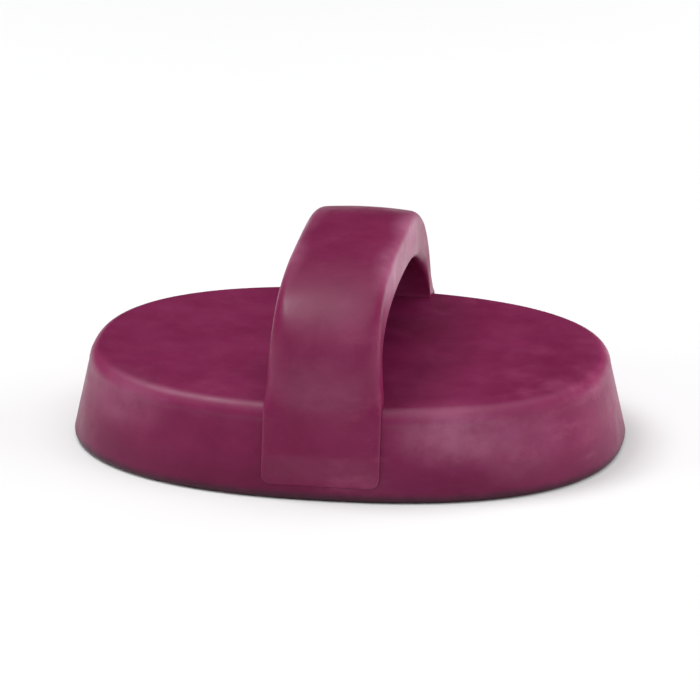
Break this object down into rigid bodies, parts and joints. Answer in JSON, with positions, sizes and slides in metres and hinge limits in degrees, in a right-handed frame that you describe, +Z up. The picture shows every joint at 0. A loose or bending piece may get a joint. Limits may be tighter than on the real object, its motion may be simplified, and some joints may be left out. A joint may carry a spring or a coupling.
{
  "type": "curry comb",
  "caption": "Oval horse-grooming curry comb with an arched hand strap across its back and concentric rows of rubber teeth underneath.",
  "frame": {"origin": "middle of the underside, on the surface the comb stands on", "axes": "+X along the long axis of the oval, +Y across it in the direction the strap crosses, +Z up"},
  "size_m": [0.15, 0.106, 0.0575],
  "materials": {
    "back": "matte plum",
    "strap": "matte plum",
    "teeth": "matte dark plum",
    "carrier": "matte dark plum",
    "steel": "bright zinc"
  },
  "bodies": {
    "root": {"back_shell": "back", "hand_strap": "strap", "tooth_carrier": "carrier", "outer_tooth_ring": "teeth", "middle_tooth_ring": "teeth", "inner_tooth_ring": "teeth", "centre_tooth_bar": "teeth", "carrier_screw_1": "steel", "carrier_screw_2": "steel", "carrier_screw_3": "steel", "carrier_screw_4": "steel", "carrier_screw_5": "steel", "carrier_screw_6": "steel", "front_strap_clamp_plate": "steel", "front_strap_nut_plate": "steel", "front_strap_screw_left": "steel", "front_strap_screw_right": "steel", "rear_strap_clamp_plate": "steel", "rear_strap_nut_plate": "steel", "rear_strap_screw_left": "steel", "rear_strap_screw_right": "steel"}
  },
  "joints": []
}
